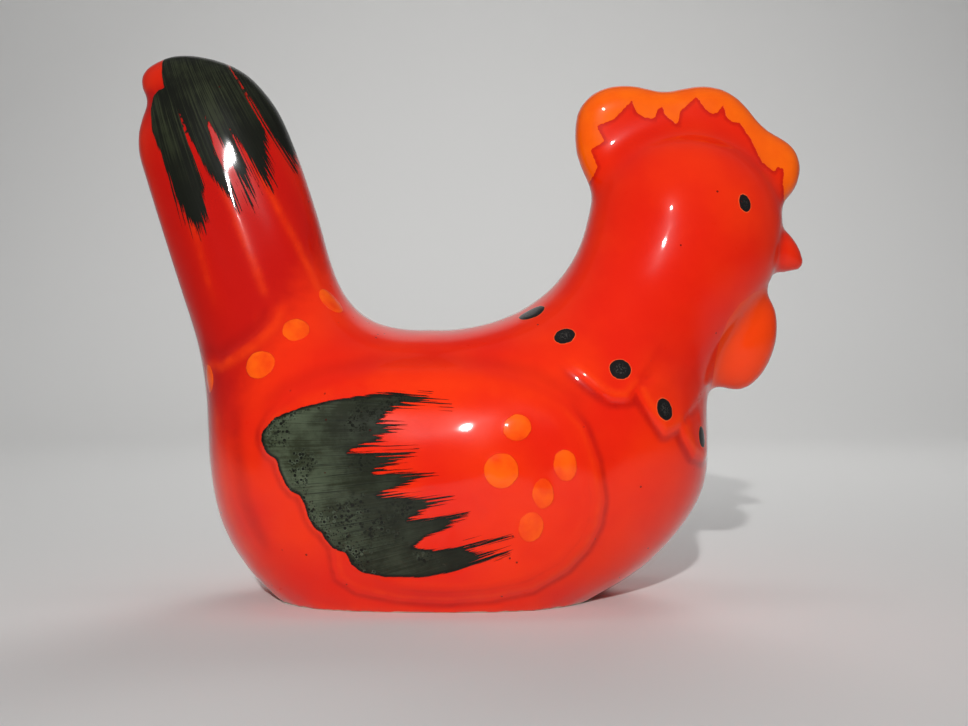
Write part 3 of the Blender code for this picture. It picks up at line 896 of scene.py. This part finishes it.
# %% Bare clay
CREAM_CLAY = color(0.62, 0.50, 0.38)
WARM_CLAY = color(0.50, 0.36, 0.25)
clay_mask = stored("bare_clay").rise(0.35, 0.65)
clay = blend_colors(speckle(place, 0.4, 4.0).rise(0.35, 0.7), CREAM_CLAY, WARM_CLAY)
surface = blend_colors(clay_mask, surface, clay)

# %% Relief of the glaze
strokes = wing_mask.most(tail_mask)
wing_pits = pits * wing_mask
grain = wing_bristles * wing_mask + tail_bristles * tail_mask
relief = (strokes * 0.10 + grain * 0.05 + orange_mask * 0.09 + ink_mask * 0.07
          + comb_mask.most(wattle_mask) * 0.03 - wing_pits * 0.10 - pinholes * 0.12
          + speckle(place, 0.10, 1.0) * 0.10 + speckle(place, 0.55, 1.0) * 0.006
          + clay_mask * speckle(place, 2.0, 4.0) * 0.08)
bumped = start.node("Bump", {}, {"Strength": 1.0, "Distance": MM, "Height": relief})

# %% Gloss, and the finished material
roughness = (0.26 + strokes * 0.12 + wing_pits * 0.2 + ink_mask * 0.08 + clay_mask * 0.55
             + wash * 0.05)
coat = (1.0 - clay_mask) * (1.0 - strokes * 0.45)
shader = start.node("BsdfPrincipled", {}, {
    "Base Color": surface, "Roughness": roughness, "Normal": bumped, "Coat Weight": coat,
    "Coat Roughness": 0.035, "Coat IOR": 1.4, "Specular IOR Level": 0.03})
start.node("OutputMaterial", {}, {"Surface": shader})
casting.data.materials.clear()
casting.data.materials.append(glaze)
print("glaze material:", len(glaze.node_tree.nodes), "nodes")

# %% [markdown]
# ## The soft stopper
#
# It is turned round one axis, like a pot on a wheel, so half of its section is
# drawn and spun. Two sealing ribs stand between shallow grooves on the shank,
# and the underside has a ring to grip. All sizes come from its solid's box.

# %% Spin the stopper
low, high = (np.array(corner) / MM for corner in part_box("base_stopper"))
middle = (low + high) / 2.0
rim = (high[0] - low[0]) / 2.0
bottom, top = low[2], high[2]
SHANK_FOOT, SHANK_TIP, WALL = rim - 3.05, rim - 4.3, 2.2
LIP = 1.5                                    # thickness of the flange
GROOVES = (bottom + 3.4, bottom + 6.0)       # where the grooves begin
SPIN_STEPS = 96


def shank(level):
    """The radius of the tapered shank at this height above its flange."""
    t = (level - bottom - LIP) / (top - bottom - LIP)
    return SHANK_FOOT + (SHANK_TIP - SHANK_FOOT) * t


profile = [(0.0, bottom + 0.35), (2.2, bottom + 0.35), (2.6, bottom + 0.7), (7.0, bottom + 0.7),
           (7.3, bottom + 0.25), (7.7, bottom), (8.6, bottom), (9.0, bottom + 0.3),
           (9.4, bottom + 0.5),
           (rim - 1.6, bottom + 0.5), (rim - 1.2, bottom + 0.1), (rim - 0.7, bottom),
           (rim - 0.2, bottom + 0.25), (rim, bottom + 0.75), (rim - 0.2, bottom + 1.25),
           (rim - 0.7, bottom + LIP), (SHANK_FOOT + 0.3, bottom + LIP),
           (SHANK_FOOT, bottom + LIP + 0.3)]
for groove in GROOVES:
    for step, depth in ((0.0, 0.0), (0.3, 0.3), (1.1, 0.3), (1.4, 0.0)):
        profile.append((shank(groove + step) - depth, groove + step))
profile += [(shank(top - 0.9), top - 0.9), (shank(top) - 0.3, top - 0.2), (shank(top) - 0.8, top),
            (shank(top) - WALL + 0.5, top), (shank(top) - WALL, top - 0.4),
            (shank(bottom + 4.5) - WALL, bottom + 4.5),
            (shank(bottom + 3.6) - WALL - 0.8, bottom + 3.4),
            (0.0, bottom + 3.3)]

plug = bmesh.new()
section = [plug.verts.new(((middle[0] + radius) * MM, middle[1] * MM, level * MM))
           for radius, level in profile]
wires = [plug.edges.new(pair) for pair in zip(section[:-1], section[1:])]
bmesh.ops.spin(plug, geom=section + wires, cent=(middle[0] * MM, middle[1] * MM, 0.0),
               axis=(0.0, 0.0, 1.0), angle=2.0 * np.pi, steps=SPIN_STEPS, use_merge=True)
bmesh.ops.remove_doubles(plug, verts=plug.verts, dist=1e-6)
bmesh.ops.recalc_face_normals(plug, faces=plug.faces)
plug_mesh = bpy.data.meshes.new("stopper_plug")
plug.to_mesh(plug_mesh)
plug.free()
stopper = link_piece("stopper_plug", plug_mesh)
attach(stopper, "stopper")
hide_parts("base_stopper")
print("stopper:", len(plug_mesh.polygons), "faces, radius", round(rim, 2), "mm")

# %% [markdown]
# ### Soft vinyl
#
# Black vinyl is matt with a dull sheen, a fine grain from its mould, and pale
# dust in the places that fingers don't reach.

# %% Stopper material
VINYL_BLACK = color(0.022, 0.022, 0.024)
VINYL_DUST = color(0.050, 0.049, 0.048)

vinyl, start, place = new_material("soft_black_vinyl")
fine, broad = speckle(place, 3.5, 3.0), speckle(place, 0.25, 3.0)
body = blend_colors(broad.rise(0.4, 0.7), VINYL_BLACK, VINYL_DUST)
bumped = start.node("Bump", {}, {"Strength": 1.0, "Distance": MM,
                                 "Height": fine * 0.03 + broad * 0.05})
shader = start.node("BsdfPrincipled", {}, {"Base Color": body, "Normal": bumped,
                                           "Roughness": 0.42 + broad * 0.25})
start.node("OutputMaterial", {}, {"Surface": shader})
stopper.data.materials.append(vinyl)
print("stopper material:", len(vinyl.node_tree.nodes), "nodes")

# %% [markdown]
# ## The stage
#
# A sheet of pale card lies under the bird and curves up behind it, so there is
# no hard line where floor meets wall. It is an edge pulled along a curve.

# %% Card sweep
HALF_WIDTH, FRONT, BEND_START, WALL_HEIGHT = 6.0, -8.0, 0.6, 3.0
BEND_STEPS, BEND_RADIUS = 24, 0.45
CARD_COLOR = color(0.74, 0.735, 0.72)

card = bmesh.new()
front = [card.verts.new((side * HALF_WIDTH, FRONT, 0.0)) for side in (-1.0, 1.0)]
edge = [card.edges.new(front)]


def pull(edges, shift):
    """Extrudes edges and moves the new ones; returns them."""
    made = bmesh.ops.extrude_edge_only(card, edges=edges)["geom"]
    moved = [g for g in made if isinstance(g, bmesh.types.BMVert)]
    bmesh.ops.translate(card, verts=moved, vec=shift)
    return [g for g in made if isinstance(g, bmesh.types.BMEdge)]


edge = pull(edge, (0.0, BEND_START - FRONT, 0.0))
for step in range(BEND_STEPS):
    a, b = (np.pi / 2.0 * (step + k) / BEND_STEPS for k in (0, 1))
    edge = pull(edge, (0.0, BEND_RADIUS * (np.sin(b) - np.sin(a)),
                       BEND_RADIUS * (np.cos(a) - np.cos(b))))
pull(edge, (0.0, 0.0, WALL_HEIGHT))
bmesh.ops.recalc_face_normals(card, faces=card.faces)
card_mesh = bpy.data.meshes.new("card_sweep")
card.to_mesh(card_mesh)
card.free()
floor = link_piece("card_sweep", card_mesh)
paper = bpy.data.materials.new("pale_card")
paper.use_nodes = True
paper_shader = paper.node_tree.nodes["Principled BSDF"]
paper_shader.inputs["Base Color"].default_value = CARD_COLOR
paper_shader.inputs["Roughness"].default_value = 0.85
card_mesh.materials.append(paper)
print("card:", len(card_mesh.polygons), "faces")

# %% [markdown]
# ## Light and camera
#
# One small bright lamp stands just beside the camera and puts short, hard
# highlights on the glaze. Large dim panels and a pale room fill the shadows.
# The camera looks level at the bird's side from close by.

# %% Lamps
def lamp(name, where, aim, size, watts, spread):
    """A disc of light at a place, turned towards another place. Its spread is
    how wide its beam opens, in radians."""
    data = bpy.data.lights.new(name, "AREA")
    data.shape, data.size, data.energy, data.spread = "DISK", size, watts, spread
    light = bpy.data.objects.new(name, data)
    light.location = where
    light.rotation_euler = (Vector(aim) - Vector(where)).to_track_quat("-Z", "Y").to_euler()
    bpy.context.scene.collection.objects.link(light)
    return light


BIRD = (0.0, 0.0, 0.055)
lamp("key_lamp", (-0.07, -0.92, 0.40), BIRD, 0.026, 0.50, 0.8)
wall_light = lamp("backdrop_lamp", (0.0, 0.25, 1.3), (0.0, 1.1, 0.3), 0.9, 3.6, 1.8)
far_light = lamp("far_side_lamp", (0.25, 0.80, 0.62), BIRD, 0.6, 0.6, 1.2)
for soft_light in (wall_light, far_light):
    soft_light.visible_glossy = False        # their discs aren't mirrored in the glaze
    soft_light.visible_camera = False

# %% Pale room
SKY_LOW = color(0.15, 0.15, 0.155)
SKY_HIGH = color(0.24, 0.245, 0.255)
SKY_STRENGTH = 0.8

room = bpy.data.worlds.new("pale_room")
room.use_nodes = True
room.node_tree.nodes.clear()
start = Tone(room.node_tree)
direction = start.node("TexCoord", output="Generated")
upwards = start.node("SeparateXYZ", {}, {"Vector": direction}, output="Z")
sky = blend_colors(upwards.rise(-0.2, 1.0), SKY_LOW, SKY_HIGH)
backdrop = start.node("Background", {}, {"Color": sky, "Strength": SKY_STRENGTH})
start.node("OutputWorld", {}, {"Surface": backdrop})
bpy.context.scene.world = room

# %% Camera
CAMERA_PLACE = (0.003, -0.300, 0.0496)
CAMERA_LENS, CAMERA_SENSOR = 51.9, 36.0      # millimetres
NEAREST_SEEN = 0.01

camera_data = bpy.data.cameras.new("side_camera")
camera_data.lens, camera_data.sensor_width = CAMERA_LENS, CAMERA_SENSOR
camera_data.clip_start = NEAREST_SEEN
camera = bpy.data.objects.new("side_camera", camera_data)
camera.location = CAMERA_PLACE
camera.rotation_euler = (np.pi / 2.0, 0.0, 0.0)
bpy.context.scene.collection.objects.link(camera)
bpy.context.scene.camera = camera
bpy.context.scene.view_settings.view_transform = "Standard"
print("camera", [round(c, 3) for c in camera.location], "lens", camera_data.lens)
